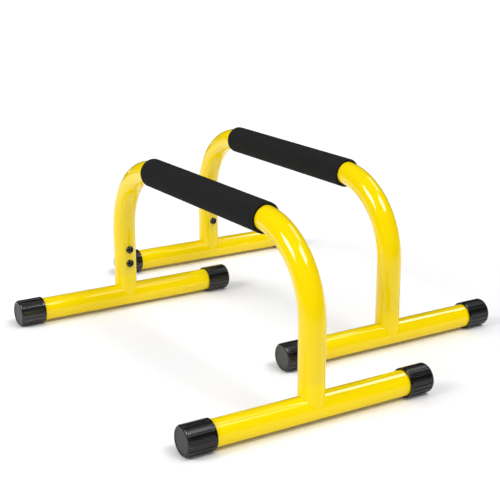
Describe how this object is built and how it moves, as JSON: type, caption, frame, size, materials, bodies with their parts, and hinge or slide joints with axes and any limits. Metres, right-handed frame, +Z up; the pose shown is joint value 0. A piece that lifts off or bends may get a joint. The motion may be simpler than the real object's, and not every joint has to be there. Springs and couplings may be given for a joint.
{
  "type": "parallette bars",
  "caption": "Low free-standing gymnastics bars of bent painted steel tube with foam grips, bolted to tube feet with ribbed rubber end caps, for dips, push-ups and handstands.",
  "frame": {"origin": "on the floor, in the middle of the outline of both bars", "axes": "+X along the grips to the right, +Y along the feet from the front bar to the rear bar, +Z up"},
  "size_m": [0.7872, 0.6694, 0.2854],
  "materials": {
    "yellow_paint": "gloss powder coat",
    "foam": "matt closed-cell foam",
    "cap_rubber": "satin moulded rubber",
    "black_steel": "black oxide, oiled",
    "bare_steel": "mill finish",
    "weld_metal": "ground weld",
    "zinc_steel": "zinc plated"
  },
  "bodies": {
    "front_bar": {"front_arch_tube": "yellow_paint", "front_foam_grip": "foam", "front_left_foot_tube": "yellow_paint", "front_left_post": "bare_steel", "front_left_weld": "weld_metal", "front_left_near_cap": "cap_rubber", "front_left_far_cap": "cap_rubber", "front_left_lower_bolt": "black_steel", "front_left_lower_washer": "black_steel", "front_left_lower_nut": "zinc_steel", "front_left_upper_bolt": "black_steel", "front_left_upper_washer": "black_steel", "front_left_upper_nut": "zinc_steel", "front_right_foot_tube": "yellow_paint", "front_right_post": "bare_steel", "front_right_weld": "weld_metal", "front_right_near_cap": "cap_rubber", "front_right_far_cap": "cap_rubber", "front_right_lower_bolt": "black_steel", "front_right_lower_washer": "black_steel", "front_right_lower_nut": "zinc_steel", "front_right_upper_bolt": "black_steel", "front_right_upper_washer": "black_steel", "front_right_upper_nut": "zinc_steel"},
    "rear_bar": {"rear_arch_tube": "yellow_paint", "rear_foam_grip": "foam", "rear_left_foot_tube": "yellow_paint", "rear_left_post": "bare_steel", "rear_left_weld": "weld_metal", "rear_left_near_cap": "cap_rubber", "rear_left_far_cap": "cap_rubber", "rear_left_lower_bolt": "black_steel", "rear_left_lower_washer": "black_steel", "rear_left_lower_nut": "zinc_steel", "rear_left_upper_bolt": "black_steel", "rear_left_upper_washer": "black_steel", "rear_left_upper_nut": "zinc_steel", "rear_right_foot_tube": "yellow_paint", "rear_right_post": "bare_steel", "rear_right_weld": "weld_metal", "rear_right_near_cap": "cap_rubber", "rear_right_far_cap": "cap_rubber", "rear_right_lower_bolt": "black_steel", "rear_right_lower_washer": "black_steel", "rear_right_lower_nut": "zinc_steel", "rear_right_upper_bolt": "black_steel", "rear_right_upper_washer": "black_steel", "rear_right_upper_nut": "zinc_steel"}
  },
  "joints": [
    {"name": "bar_spacing", "type": "slide", "parent": "front_bar", "child": "rear_bar", "axis": [0, 1, 0], "range_m": [-0.12, 0.42]}
  ]
}
